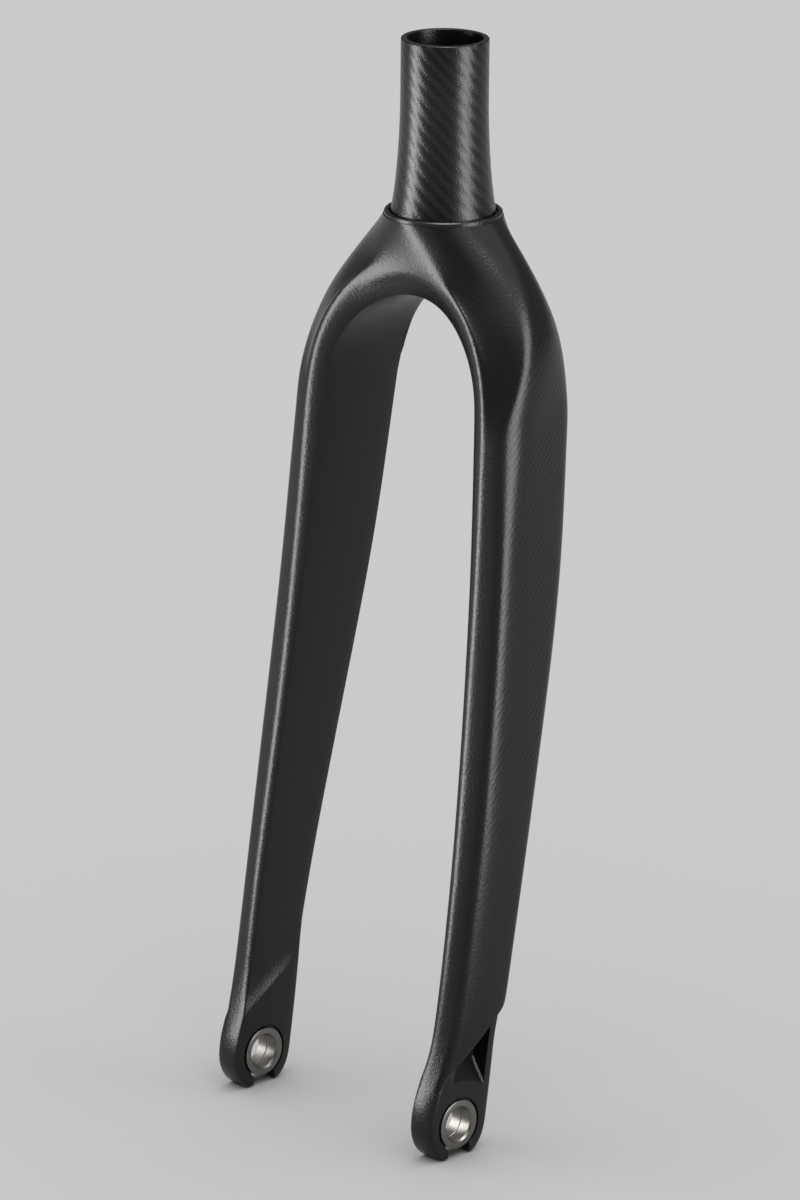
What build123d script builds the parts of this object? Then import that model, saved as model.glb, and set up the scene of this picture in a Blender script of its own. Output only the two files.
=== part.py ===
from build123d import *

import os
from math import cos, pi, radians, sin, sqrt, tan

os.makedirs("parts", exist_ok=True)

# Rigid bicycle fork: a moulded crown with two blades, a bonded tapered steerer and flanged axle bushes.
# Millimetres. The origin is the centre of the crown seat, on the steerer axis. +Z runs up the steerer,
# the bicycle's front is towards -Y, and +X is the rider's left. "Forward" distances below are along -Y.

# Main fork geometry
axle_to_crown = 389.3
rake = 52.2
hub_spacing = 110.0
steerer_length = 75.5

# Steerer tube
steerer_top_diameter = 38.1
steerer_foot_diameter = 45.7
steerer_wall = 2.6
steerer_taper_height = 50.0
steerer_flare_height = 8.0
steerer_flare_angle = 14.0
steerer_taper_ease = 0.6
steerer_socket_depth = 9.0
steerer_edge_chamfer = 0.4
bond_line = 0.1

# Crown seat, the flat ring that carries the lower bearing
seat_diameter = 51.6
seat_rim_height = 2.0
seat_rim_step = 0.4
seat_groove_width = 1.0
seat_groove_depth = 1.6
seat_edge_chamfer = 0.35
crown_bore_depth = 29.0

# Crown levels, measured down from the seat
neck_drop = 17.0
neck_half_width = 42.0
neck_half_depth = 20.4
neck_fullness = 1.0
neck_back_fullness = 1.06
shoulder_drop = 40.0
shoulder_half_width = 58.5
shoulder_half_depth = 23.2
shoulder_fullness = 1.09
shoulder_back_fullness = 1.09

# Wheel arch under the crown, with its bevelled front mouth
arch_centre_drop = 81.0
arch_radius = 45.0
mouth_depth = 4.5
mouth_rise = 10.2
mouth_spread = 8.1
mouth_setback = 2.1
mouth_lean = 10.5
mouth_reach = 60.0
mouth_cut_start = -0.4
mouth_cut_end = 1.8

# Blades
blade_thickness_root = 21.4
blade_thickness_tip = 15.2
blade_chord_root = 48.3
blade_chord_taper = 2.5
blade_chord_tip = 30.6
blade_nose_root = 27.6
blade_nose_ahead_of_axle = 11.8
blade_nose_crown = 1.5
blade_nose_fullness = 0.8
blade_widest_share = 0.28
blade_straight_share = 0.55
blade_tip_above_axle = 14.3
blade_tail_root = 13.8
blade_tail_tip = 14.0
blade_tail_turn = 0.08
blade_tail_round = 0.05
blade_pinch_start = 0.8
blade_bevel_width = 4.2
blade_bevel_depth = 2.4

# Dropouts
dropout_thickness = 12.5
dropout_boss_radius = 18.0
dropout_web_recess = 2.0
dropout_facet_proud = 2.0
dropout_heel_height = 50.0
dropout_heel_inset = 2.2
dropout_toe_height = 21.0
dropout_foot_drop = 14.3
dropout_foot_radius = 3.0
dropout_slot_width = 13.0
dropout_pocket_depth = 4.5
dropout_pocket_radius = 1.5
dropout_pocket_share = 0.6
dropout_facet_chamfer = 1.7
dropout_rib_width = 4.5

# Axle bushes
axle_diameter = 15.0
bush_wall = 1.5
bush_flange_diameter = 22.0
bush_flange_thickness = 1.5
bush_bore_chamfer = 0.8
bush_edge_chamfer = 0.25
bush_recess_gap = 1.2
bush_fit_gap = 0.05

# Values that follow from the sizes above
blade_length = axle_to_crown - arch_centre_drop - blade_tip_above_axle
blade_sweep = rake + blade_nose_ahead_of_axle - blade_nose_root
dropout_inner = hub_spacing / 2
dropout_outer = dropout_inner + dropout_thickness
blade_inner_tip = dropout_inner + dropout_facet_proud
seat_radius = seat_diameter / 2
steerer_top_radius = steerer_top_diameter / 2
steerer_foot_radius = steerer_foot_diameter / 2
steerer_bore_radius = steerer_top_radius - steerer_wall
axle_radius = axle_diameter / 2
bush_radius = axle_radius + bush_wall
bush_flange_radius = bush_flange_diameter / 2
well_below_axle = 4 * dropout_boss_radius

# Number of levels that carry the blades' curve through the loft
blade_levels = 12

# Handle length of a cubic curve that follows an eighth of a circle
EIGHTH = 4 / 3 * tan(pi / 16)


def quarter_handle(fullness):
    """Handle length of a cubic quarter curve. Its middle is this many times as far out as a circle's."""
    return 4 / 3 * (sqrt(2) * fullness - 1)


def blade_inner(share):
    """Distance of the blade's flat inner face from the middle, at a share of the blade's length."""
    return arch_radius + (blade_inner_tip - arch_radius) * (2 * share - share**2)


def blade_thickness(share):
    """Thickness of the blade. Near the tip the outer skin pinches in to meet the dropout's outer face."""
    pinch = max(0, (share - blade_pinch_start) / (1 - blade_pinch_start)) ** 2
    full = blade_thickness_root + (blade_thickness_tip - blade_thickness_root) * share
    return full + (dropout_outer - blade_inner_tip - blade_thickness_tip) * pinch


def blade_chord(share):
    return blade_chord_tip + (blade_chord_root - blade_chord_tip) * (1 - share**2) ** blade_chord_taper


def blade_nose(share):
    curved_share = 1 - blade_straight_share
    return blade_nose_root + blade_sweep * (blade_straight_share * share + curved_share * share**2)


def blade_tail(share):
    return blade_nose(share) - blade_chord(share)


def share_above_axle(height):
    """Share of the blade's length that lies a height above the axle."""
    return 1 - (height - blade_tip_above_axle) / blade_length


def curve_face(points):
    """Face inside a closed run of cubic curves. Separate edges let each follow its own strip of a loft."""
    edges = []
    for start in range(0, len(points) - 1, 3):
        edges.append(Bezier(*points[start : start + 4]))
    return Face(Wire(edges))


def level_face(drop, half_outline):
    """Level of the hull, from the control points of its +X half, front to back."""
    other_half = [(-x, y) for x, y in reversed(half_outline[:-1])]
    return curve_face([(x, y, -drop) for x, y in half_outline + other_half])


def crown_section(drop, half_width, half_depth, fullness, back_fullness):
    """Oval level of the crown, squarer at its front and back corners the fuller they are."""
    quarter = quarter_handle(fullness)
    side = back_fullness * half_width * sin(pi / 4)
    back = back_fullness * half_depth * sin(pi / 4)
    return level_face(
        drop,
        [
            (0, -half_depth),
            (quarter * half_width, -half_depth),
            (half_width, -quarter * half_depth),
            (half_width, 0),
            (half_width, EIGHTH * half_depth),
            (side + EIGHTH * side, back - EIGHTH * back),
            (side, back),
            (side - EIGHTH * side, back + EIGHTH * back),
            (EIGHTH * half_width, half_depth),
            (0, half_depth),
        ],
    )


def blade_section(share):
    """Level through both blades: each outer skin, joined straight across where the wheel space is cut."""
    inner = blade_inner(share)
    outer = inner + blade_thickness(share)
    chord = blade_chord(share)
    nose = blade_nose(share) + blade_nose_crown * (1 - share)
    widest = nose - blade_widest_share * chord
    tail = blade_tail(share)
    tail_width = blade_tail_root + (blade_tail_tip - blade_tail_root) * share
    tail_side = min(inner + tail_width, outer - blade_tail_round * chord)
    tail_turn = tail + blade_tail_turn * chord
    tail_end = Vector(tail_side, -tail_turn)
    facet = tail_end - Vector(outer, -widest)
    before_tail = tail_end - facet / 3
    after_tail = tail_end + facet.normalized() * blade_tail_round * chord
    return level_face(
        arch_centre_drop + share * blade_length,
        [
            (0, -nose),
            (inner + blade_nose_fullness * (outer - inner), -nose),
            (outer, -widest - blade_nose_fullness * (nose - widest)),
            (outer, -widest),
            (outer, -widest + facet.length / 3),
            (before_tail.X, before_tail.Y),
            (tail_side, -tail_turn),
            (after_tail.X, after_tail.Y),
            ((inner + tail_side) / 2, -tail),
            (0, -tail),
        ],
    )


def arch_points(share, foot_drop, opening):
    """Control points of the wheel space's outline seen from the front, measured from the arch's centre.

    The legs follow the blades over a share of their length, then run straight down to foot_drop.
    opening widens the outline by that share of the mouth's spread.
    """
    spread = opening * mouth_spread
    side = arch_radius + spread
    rise = arch_radius + opening * mouth_rise
    foot = blade_inner(share) + spread
    leg = share * blade_length
    bend = side + (blade_inner_tip - arch_radius) * share
    half = [
        (0, rise),
        (quarter_handle(1) * side, rise),
        (side, quarter_handle(1) * rise),
        (side, 0),
        (side + (bend - side) * 2 / 3, -leg / 3),
        (foot + (bend - foot) * 2 / 3, -leg * 2 / 3),
        (foot, -leg),
        (foot, -leg - (foot_drop - leg) / 3),
        (foot, -foot_drop + (foot_drop - leg) / 3),
        (foot, -foot_drop),
        (foot * 2 / 3, -foot_drop),
        (foot / 3, -foot_drop),
        (0, -foot_drop),
    ]
    return half + [(-x, z) for x, z in reversed(half[:-1])]


def mouth_face(opening):
    """Outline of the mouth on its leaning plane, which is further forward the wider it opens."""
    lean = radians(mouth_lean)
    spring = Plane(
        origin=(0, -blade_nose_root + mouth_setback, -arch_centre_drop),
        x_dir=(1, 0, 0),
        z_dir=(0, -cos(lean), sin(lean)),
    )
    plane = spring.offset(opening * mouth_depth)
    outline = arch_points(mouth_reach / blade_length, mouth_reach + arch_radius / 4, opening)
    return curve_face([plane.from_local_coords((x, z, 0)) for x, z in outline])


def bevel_face(side, share):
    """Triangle that takes off a blade's inner front corner. At the root it stays clear of the blade."""
    ahead = (1 - min(1, share * blade_levels)) * 2 * blade_bevel_depth
    nose = blade_nose(share) + ahead
    inside = blade_inner(share) - blade_bevel_width
    past_corner = inside + 3 * blade_bevel_width
    level = -arch_centre_drop - share * blade_length
    corners = [
        (side * inside, -nose + 2 * blade_bevel_depth, level),
        (side * past_corner, -nose - blade_bevel_depth, level),
        (side * inside, -nose - blade_bevel_depth, level),
    ]
    return Face(Wire.make_polygon(corners))


def below_blade(side):
    """Outline of everything below a blade's slanted end, on the side planes of axle_plane."""
    low_toe = Vector(past_toe.X, -well_below_axle)
    low_heel = Vector(past_heel.X, -well_below_axle)
    corners = [past_heel, past_toe, low_toe, low_heel]
    return [(-side * corner.X, corner.Y) for corner in corners]


def axle_plane(side, distance):
    """Side plane through the axle, facing outwards. Its own x runs backwards on the +X side."""
    return Plane(origin=(side * distance, -rake, -axle_to_crown), x_dir=(0, side, 0), z_dir=(side, 0, 0))


# Ends of the slanted line where a blade stops and its dropout carries on, forward of and above the axle
heel_tail = blade_tail(share_above_axle(dropout_heel_height)) - rake
heel = Vector(heel_tail + dropout_heel_inset, dropout_heel_height)
toe = Vector(blade_nose(share_above_axle(dropout_toe_height)) - rake, dropout_toe_height)
past_heel = heel + (heel - toe)
past_toe = toe + (toe - heel)

# Pocket in the web: two corners along the slanted line and one next to the boss
slant = (toe - heel).normalized()
pocket_corners = [
    heel + slant * dropout_rib_width - Vector(0, dropout_pocket_radius),
    heel + (toe - heel) * dropout_pocket_share - Vector(0, dropout_pocket_radius),
    Vector(dropout_rib_width - dropout_boss_radius, dropout_boss_radius),
]


levels = [
    crown_section(seat_rim_height, seat_radius + seat_rim_step, seat_radius + seat_rim_step, 1, 1),
    crown_section(neck_drop, neck_half_width, neck_half_depth, neck_fullness, neck_back_fullness),
    crown_section(
        shoulder_drop,
        shoulder_half_width,
        shoulder_half_depth,
        shoulder_fullness,
        shoulder_back_fullness,
    ),
]
shares = [station / blade_levels for station in range(blade_levels + 1)]
for share in shares:
    levels.append(blade_section(share))

wheel_space = curve_face(
    [
        (x, 0, z - arch_centre_drop)
        for x, z in arch_points(1, axle_to_crown - arch_centre_drop + well_below_axle, 0)
    ]
)

bevels = [[bevel_face(side, share) for share in shares] for side in (1, -1)]

with BuildPart() as fork_body:
    loft(sections=levels)
    extrude(wheel_space, amount=axle_to_crown, both=True, mode=Mode.SUBTRACT)
    loft(sections=[mouth_face(mouth_cut_start), mouth_face(mouth_cut_end)], ruled=True, mode=Mode.SUBTRACT)
    for bevel in bevels:
        loft(sections=bevel, mode=Mode.SUBTRACT)

    # Each blade stops on a slanted line
    with BuildSketch(axle_plane(1, 0)):
        with BuildLine():
            Polyline(below_blade(1), close=True)
        make_face()
    extrude(amount=hub_spacing, both=True, mode=Mode.SUBTRACT)

    for side in (1, -1):
        # Dropout plate: the boss and the web up to the blade's end, with a flat foot and an axle slot
        with BuildSketch(axle_plane(side, dropout_inner)) as plate:
            with BuildLine():
                CenterArc((0, 0), dropout_boss_radius, 0, 360)
                Line((-side * heel.X, heel.Y), (-side * toe.X, toe.Y))
            make_hull()
            with Locations((0, -dropout_foot_drop)):
                Rectangle(
                    2 * dropout_boss_radius,
                    dropout_boss_radius,
                    align=(Align.CENTER, Align.MAX),
                    mode=Mode.SUBTRACT,
                )
            Rectangle(
                dropout_slot_width,
                dropout_boss_radius,
                align=(Align.CENTER, Align.MAX),
                mode=Mode.SUBTRACT,
            )
            fillet(plate.vertices().group_by(Axis.Y)[0], dropout_foot_radius)
        extrude(amount=dropout_thickness)

        inner_face = side * dropout_inner
        inner_edges = fork_body.edges().filter_by_position(Axis.X, inner_face, inner_face)
        chamfer(inner_edges.sort_by(Axis.Z)[-1], dropout_facet_chamfer)

        # The web is set back round the boss, with a pocket sunk into it between the rear rib and the boss
        web_face = dropout_outer - dropout_web_recess
        with BuildSketch(axle_plane(side, web_face)):
            with BuildLine():
                Polyline(below_blade(side), close=True)
            make_face()
            Circle(dropout_boss_radius, mode=Mode.SUBTRACT)
        extrude(amount=dropout_thickness, mode=Mode.SUBTRACT)
        with BuildSketch(axle_plane(side, web_face - dropout_pocket_depth)) as pocket:
            with BuildLine():
                Polyline([(-side * corner.X, corner.Y) for corner in pocket_corners], close=True)
            make_face()
            fillet(pocket.vertices(), dropout_pocket_radius)
        extrude(amount=dropout_pocket_depth, mode=Mode.SUBTRACT)

        # Bush hole, with a recess round each flange
        with BuildSketch(axle_plane(side, dropout_inner)):
            Circle(bush_radius + bush_fit_gap)
        extrude(amount=dropout_thickness, mode=Mode.SUBTRACT)
        for recess_start in (dropout_inner, dropout_outer - bush_flange_thickness):
            with BuildSketch(axle_plane(side, recess_start)):
                Circle(bush_flange_radius + bush_recess_gap)
            extrude(amount=bush_flange_thickness, mode=Mode.SUBTRACT)

    # Seat rim, and the stepped socket that the steerer is bonded into
    with BuildSketch():
        Circle(seat_radius)
    extrude(amount=-seat_rim_height)
    with BuildSketch():
        Circle(steerer_foot_radius + seat_groove_width)
    extrude(amount=-seat_groove_depth, mode=Mode.SUBTRACT)
    chamfer(fork_body.edges().group_by(Axis.Z)[-1], seat_edge_chamfer)
    with BuildSketch():
        Circle(steerer_top_radius + bond_line)
    extrude(amount=-steerer_socket_depth, mode=Mode.SUBTRACT)
    with BuildSketch():
        Circle(steerer_bore_radius)
    extrude(amount=-crown_bore_depth, mode=Mode.SUBTRACT)

fork_body.part.label = "fork_body"
export_step(fork_body.part, "parts/fork_body.step")


# Straight bore, tapered outside, and a spigot below the seat that goes into the crown's socket
flare_foot = steerer_flare_height * tan(radians(steerer_flare_angle))
with BuildPart() as steerer_tube:
    with BuildSketch(Plane.XZ):
        with BuildLine():
            Bezier(
                (steerer_top_radius, steerer_taper_height),
                (steerer_top_radius, steerer_taper_height * steerer_taper_ease),
                (steerer_foot_radius - flare_foot, steerer_flare_height),
                (steerer_foot_radius, 0),
            )
            Polyline(
                (steerer_foot_radius, 0),
                (steerer_foot_radius, -seat_groove_depth),
                (steerer_top_radius, -seat_groove_depth),
                (steerer_top_radius, -steerer_socket_depth),
                (steerer_bore_radius, -steerer_socket_depth),
                (steerer_bore_radius, steerer_length),
                (steerer_top_radius, steerer_length),
                (steerer_top_radius, steerer_taper_height),
            )
        make_face()
    revolve(axis=Axis.Z)
    chamfer(steerer_tube.edges().group_by(Axis.Z)[-1], steerer_edge_chamfer)

steerer_tube.part.label = "steerer_tube"
export_step(steerer_tube.part, "parts/steerer_tube.step")

# Each dropout hole has two flanged bushes that meet in its middle
for side_name, side in (("left", 1), ("right", -1)):
    for face_name, distance, way in (("inner", dropout_inner, 1), ("outer", dropout_outer, -1)):
        mouth = Plane(origin=(side * distance, -rake, -axle_to_crown), z_dir=(side * way, 0, 0))
        with BuildPart() as axle_bush:
            with BuildSketch(mouth):
                Circle(bush_flange_radius)
            extrude(amount=bush_flange_thickness)
            with BuildSketch(mouth):
                Circle(bush_radius)
            extrude(amount=dropout_thickness / 2)
            rounds = axle_bush.edges().filter_by(GeomType.CIRCLE)
            chamfer(rounds.sort_by(SortBy.RADIUS)[-2:], bush_edge_chamfer)
            with BuildSketch(mouth):
                Circle(axle_radius)
            extrude(amount=dropout_thickness / 2, mode=Mode.SUBTRACT)
            bore_edges = axle_bush.edges().filter_by(GeomType.CIRCLE).group_by(SortBy.RADIUS)[0]
            chamfer(bore_edges.sort_by_distance(mouth.origin)[0], bush_bore_chamfer)
        bush_name = f"axle_bush_{side_name}_{face_name}"
        axle_bush.part.label = bush_name
        export_step(axle_bush.part, f"parts/{bush_name}.step")
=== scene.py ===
"""Looks of a rigid carbon bicycle fork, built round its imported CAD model.

Metres, in the CAD model's own frame: the origin is the middle of the crown seat, +Z runs up the
steerer, the bicycle's front is towards -Y, and +X is the rider's left. The fork's own classes hold
their sizes in millimetres and their points as (x, forward, z), where forward is the distance ahead
of the steerer's axis.
"""

import logging
import math
from collections.abc import Sequence
from dataclasses import dataclass
from enum import Enum, IntEnum
from functools import partial
from typing import Any

import bmesh
import bpy
from mathutils import Matrix, Vector

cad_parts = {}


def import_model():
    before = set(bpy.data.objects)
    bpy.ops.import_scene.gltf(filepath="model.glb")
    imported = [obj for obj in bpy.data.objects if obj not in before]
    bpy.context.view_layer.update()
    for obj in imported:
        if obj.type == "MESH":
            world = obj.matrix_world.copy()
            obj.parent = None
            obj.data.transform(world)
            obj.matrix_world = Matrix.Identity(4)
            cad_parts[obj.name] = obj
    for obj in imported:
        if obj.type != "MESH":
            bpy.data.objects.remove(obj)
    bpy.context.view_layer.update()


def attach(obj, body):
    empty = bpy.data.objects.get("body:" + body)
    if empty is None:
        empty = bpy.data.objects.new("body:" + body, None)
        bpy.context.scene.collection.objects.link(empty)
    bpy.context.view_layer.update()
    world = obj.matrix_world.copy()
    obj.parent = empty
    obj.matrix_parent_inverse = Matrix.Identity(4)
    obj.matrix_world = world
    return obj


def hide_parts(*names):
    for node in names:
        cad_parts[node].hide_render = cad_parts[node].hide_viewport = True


LOG = logging.getLogger("fork")

MM = 0.001

# Sizes that more than one piece or finish needs, in millimetres. The bores are radii.
AXLE_FORWARD = 52.2
AXLE_LEVEL = -389.3
AXLE_BORE = 7.5
HUB_FACE = 55.0
PLATE_FACE = 67.5
STEERER_RADIUS = 19.05
STEERER_BORE = 16.45
SEAT_DEPTH = 1.6
SOCKET_DEPTH = 9.0
# Level where the wheel arch springs from the blades.
SPRING = -81.0
# How far a cutter stands out of the face that it cuts.
OVERRUN = 6.0

TURNED_FACETS = 96
TURNED_EDGE = math.radians(35)
TURNED_MERGE = 0.001 * MM

# Settings that many nodes share.
TIMES = {"operation": "MULTIPLY"}
TIMES_PLUS = {"operation": "MULTIPLY_ADD"}
COLOURS = {"data_type": "RGBA"}

Pair = tuple[float, float]
Knots = tuple[Pair, ...]
Run = tuple[float, ...]


def to_linear(hex_colour: str) -> tuple[float, float, float, float]:
    """Turns an sRGB hex colour into the linear values that shaders take.

    Args:
        hex_colour: colour such as "#1c1d1f".

    Returns:
        Linear red, green, blue and an alpha of 1.
    """
    channels = [int(hex_colour[start : start + 2], 16) / 255 for start in (1, 3, 5)]
    linear = [c / 12.92 if c <= 0.04045 else ((c + 0.055) / 1.055) ** 2.4 for c in channels]
    return (linear[0], linear[1], linear[2], 1.0)


def add_node(tree: Any, kind: str, settings: dict[str, Any], inputs: Any) -> Any:
    """Adds a shader node with its settings, plain values and links.

    Args:
        tree: node tree that gets the node.
        kind: Blender's name for the node type, without ShaderNode in front.
        settings: node properties by name.
        inputs: its inputs in order, or a dict of them by name or number. Each is a value, the output
            socket that feeds it, or the node whose first output feeds it.

    Returns:
        The new node.
    """
    node = tree.nodes.new(f"ShaderNode{kind}")
    for name, value in settings.items():
        setattr(node, name, value)
    for key, value in inputs.items() if isinstance(inputs, dict) else enumerate(inputs):
        source = value.outputs[0] if isinstance(value, bpy.types.Node) else value
        if isinstance(source, bpy.types.NodeSocket):
            tree.links.new(source, node.inputs[key])
        else:
            node.inputs[key].default_value = source
    return node


def new_material(name: str) -> tuple[Any, Any, Any]:
    """Starts a node material.

    Args:
        name: name of the finish.

    Returns:
        The material, its node tree and its Principled shader.
    """
    material = bpy.data.materials.new(name)
    material.use_nodes = True
    return material, material.node_tree, material.node_tree.nodes["Principled BSDF"]


def dress(piece: Any, material: Any) -> None:
    """Gives a piece one finish all over."""
    piece.data.materials.clear()
    piece.data.materials.append(material)


@dataclass(frozen=True)
class SatinCarbon:
    """Carbon laminate moulded under a satin lacquer.

    It is near black, with faint slanted lines of the cloth's threads, whose lighter colour is a painted
    sheen where they catch the light, and a fine grain in the lacquer that breaks up the highlights.
    """

    colour: str = "#040404"
    # Lighter colour of the threads, a painted sheen.
    thread_sheen_colour: str = "#161617"
    roughness: float = 0.22
    specular: float = 0.27
    thread_pitch: float = 2.7 * MM
    thread_wander: float = 1.6 * MM
    wander_size: float = 9.0 * MM
    # Threads show on skin that faces sideways, fade out down the blades, and come in patches.
    # Where they show, their lighter colour is a painted sheen.
    flank_start: float = 0.86
    flank_full: float = 0.98
    fade_foot: float = -330 * MM
    fade_top: float = -230 * MM
    patch_size: float = 14.0 * MM
    patch_start: float = 0.15
    patch_full: float = 0.6
    thread_dulling: float = -0.05
    thread_relief: float = 0.09
    # Real lacquer grain is about 0.1 mm. It is drawn coarser here so that it shows.
    grain_size: float = 0.95 * MM
    grain_dulling: float = 0.08
    relief_strength: float = 0.8
    relief_depth: float = 0.14 * MM

    def build(self) -> Any:
        """Builds the material.

        Returns:
            The new material.
        """
        material, tree, shader = new_material("satin_carbon_laminate")
        add = partial(add_node, tree)
        space = add("TexCoord", {}, ())
        place = space.outputs["Object"]
        at = add("SeparateXYZ", {}, (place,))
        facing = add("SeparateXYZ", {}, (space.outputs["Normal"],))
        wander, patches, grain = (
            add("TexNoise", {}, {"Vector": place, "Scale": 1 / size, "Detail": detail})
            for size, detail in ((self.wander_size, 1.0), (self.patch_size, 2.0), (self.grain_size, 2.0))
        )
        slant = add("Math", {"operation": "SUBTRACT"}, (at.outputs["Y"], at.outputs["Z"]))
        drift = add("Math", TIMES_PLUS, (wander, self.thread_wander, slant))
        per_metre = 2 * math.pi / (self.thread_pitch * math.sqrt(2))
        turns = add("Math", TIMES, (drift, per_metre))
        waves = add("Math", {"operation": "SINE"}, (turns,))
        sideways = add("Math", {"operation": "ABSOLUTE"}, (facing.outputs["X"],))
        flank = add("MapRange", {}, (sideways, self.flank_start, self.flank_full))
        upper = add("MapRange", {}, (at.outputs["Z"], self.fade_foot, self.fade_top, 0.0, flank))
        patch = add("MapRange", {}, (patches, self.patch_start, self.patch_full, 0.0, upper))
        threads = add("Math", TIMES, (waves, patch))
        painted_sheen = add("MapRange", {}, (threads, -1.0, 1.0))
        # Painted sheen: the skin is mixed towards the lighter thread colour along the threads.
        shade = add("Mix", COLOURS, {0: painted_sheen, 6: to_linear(self.colour), 7: to_linear(self.thread_sheen_colour)})
        sheen = add("Math", TIMES_PLUS, (threads, self.thread_dulling, self.roughness))
        gloss = add("Math", TIMES_PLUS, (grain, self.grain_dulling, sheen))
        relief = add("Math", TIMES_PLUS, (threads, self.thread_relief, grain))
        bump = add(
            "Bump", {}, {"Strength": self.relief_strength, "Distance": self.relief_depth, "Height": relief}
        )
        tree.links.new(shade.outputs[2], shader.inputs["Base Color"])
        tree.links.new(gloss.outputs[0], shader.inputs["Roughness"])
        tree.links.new(bump.outputs["Normal"], shader.inputs["Normal"])
        shader.inputs["Specular IOR Level"].default_value = self.specular
        return material


@dataclass(frozen=True)
class TwillCarbon:
    """Carbon tube wrapped in twill cloth, in clear resin.

    Slanted bands of threads turn towards and away from the light, so they differ in relief, and their
    lighter shade is a painted sheen.
    """

    colour: str = "#040405"
    # Lighter colour of the bands, a painted sheen.
    band_sheen_colour: str = "#101012"
    roughness: float = 0.28
    specular: float = 0.34
    bands_round: float = 22.0
    band_rise: float = 6.3 * MM
    band_edge: float = 0.8
    # The bore is plain, and the bands start just outside it.
    plain_radius: float = (STEERER_BORE + 0.2) * MM
    banded_radius: float = (STEERER_BORE + 0.6) * MM
    # Carbon fibres are far finer than a pixel. These streaks are drawn as coarse as they need to show.
    streak_size: float = 0.8 * MM
    streak_detail: float = 3.0
    fraying: float = 3.2
    band_relief: float = 0.5
    relief_strength: float = 0.8
    relief_depth: float = 0.13 * MM

    def build(self) -> Any:
        """Builds the material.

        Returns:
            The new material.
        """
        material, tree, shader = new_material("twill_carbon_tube")
        add = partial(add_node, tree)
        place = add("TexCoord", {}, ()).outputs["Object"]
        at = add("SeparateXYZ", {}, (place,))
        bearing = add("Math", {"operation": "ARCTAN2"}, (at.outputs["Y"], at.outputs["X"]))
        fibre = add(
            "TexNoise", {}, {"Vector": place, "Scale": 1 / self.streak_size, "Detail": self.streak_detail}
        )
        climb = add("Math", TIMES, (at.outputs["Z"], 2 * math.pi / self.band_rise))
        turns = add("Math", TIMES_PLUS, (bearing, self.bands_round, climb))
        frayed = add("Math", TIMES_PLUS, (fibre, self.fraying, turns))
        waves = add("Math", {"operation": "SINE"}, (frayed,))
        flat = add("VectorMath", TIMES, (place, (1, 1, 0)))
        reach = add("VectorMath", {"operation": "LENGTH"}, (flat,))
        outside = add("MapRange", {}, (reach.outputs["Value"], self.plain_radius, self.banded_radius))
        bands = add("MapRange", {}, (waves, -self.band_edge, self.band_edge, 0.0, outside))
        # Painted sheen: the bands are mixed towards the lighter colour.
        shade = add("Mix", COLOURS, {0: bands, 6: to_linear(self.colour), 7: to_linear(self.band_sheen_colour)})
        relief = add("Math", TIMES_PLUS, (bands, self.band_relief, fibre))
        bump = add(
            "Bump", {}, {"Strength": self.relief_strength, "Distance": self.relief_depth, "Height": relief}
        )
        tree.links.new(shade.outputs[2], shader.inputs["Base Color"])
        tree.links.new(bump.outputs["Normal"], shader.inputs["Normal"])
        shader.inputs["Roughness"].default_value = self.roughness
        shader.inputs["Specular IOR Level"].default_value = self.specular
        return material


@dataclass(frozen=True)
class TurnedStainless:
    """Stainless steel turned on a lathe.

    It is grey and satin, with fine rings that streak the reflections, and duller in the bore.
    """

    colour: str = "#74726e"
    roughness: float = 0.22
    bore_roughness: float = 0.36
    # The bore's dullness gives way to the face's gloss between these two radii.
    dull_radius: float = (AXLE_BORE + 0.1) * MM
    glossy_radius: float = (AXLE_BORE + 0.5) * MM
    # Turning marks are about 0.1 mm apart. They are drawn wider so that they show.
    ring_pitch: float = 0.4 * MM
    ring_waver: float = 0.6
    ring_dulling: float = 0.12
    relief_strength: float = 0.05
    relief_depth: float = 0.02 * MM

    def build(self) -> Any:
        """Builds the material.

        Returns:
            The new material.
        """
        material, tree, shader = new_material("turned_stainless_steel")
        add = partial(add_node, tree)
        place = add("TexCoord", {}, ()).outputs["Object"]
        to_axle = (0, AXLE_FORWARD * MM, -AXLE_LEVEL * MM)
        centred = add("Mapping", {}, {"Vector": place, "Location": to_axle})
        # At a scale of 1 the texture's rings are pi / 10 apart.
        scale = math.pi / 10 / self.ring_pitch
        rings = add(
            "TexWave",
            {"wave_type": "RINGS", "rings_direction": "X"},
            {"Vector": centred, "Scale": scale, "Distortion": self.ring_waver, "Detail": 1.0},
        )
        across = add("VectorMath", TIMES, (centred, (0, 1, 1)))
        reach = add("VectorMath", {"operation": "LENGTH"}, (across,))
        from_bore = (reach.outputs["Value"], self.dull_radius, self.glossy_radius)
        dull = add("MapRange", {}, (*from_bore, self.bore_roughness, self.roughness))
        marks = rings.outputs[1]
        gloss = add("Math", TIMES_PLUS, (marks, self.ring_dulling, dull))
        bump = add(
            "Bump", {}, {"Strength": self.relief_strength, "Distance": self.relief_depth, "Height": marks}
        )
        shader.inputs["Base Color"].default_value = to_linear(self.colour)
        shader.inputs["Metallic"].default_value = 1.0
        tree.links.new(gloss.outputs[0], shader.inputs["Roughness"])
        tree.links.new(bump.outputs["Normal"], shader.inputs["Normal"])
        return material


class Side(IntEnum):
    """Sides of the fork, as the rider has them, with the way each lies along X."""

    LEFT = 1
    RIGHT = -1


class Line(IntEnum):
    """Lengthwise lines of a blade's skin, in order round its section."""

    EDGE = 0
    RIDGE = 1
    FRONT = 2
    TURN = 3
    CORNER = 4
    OUT_FRONT = 5
    OUT_MID = 6
    OUT_BACK = 7
    TAIL_OUT = 8
    TAIL = 9
    TAIL_IN = 10
    IN_BACK = 11
    IN_FRONT = 12


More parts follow.
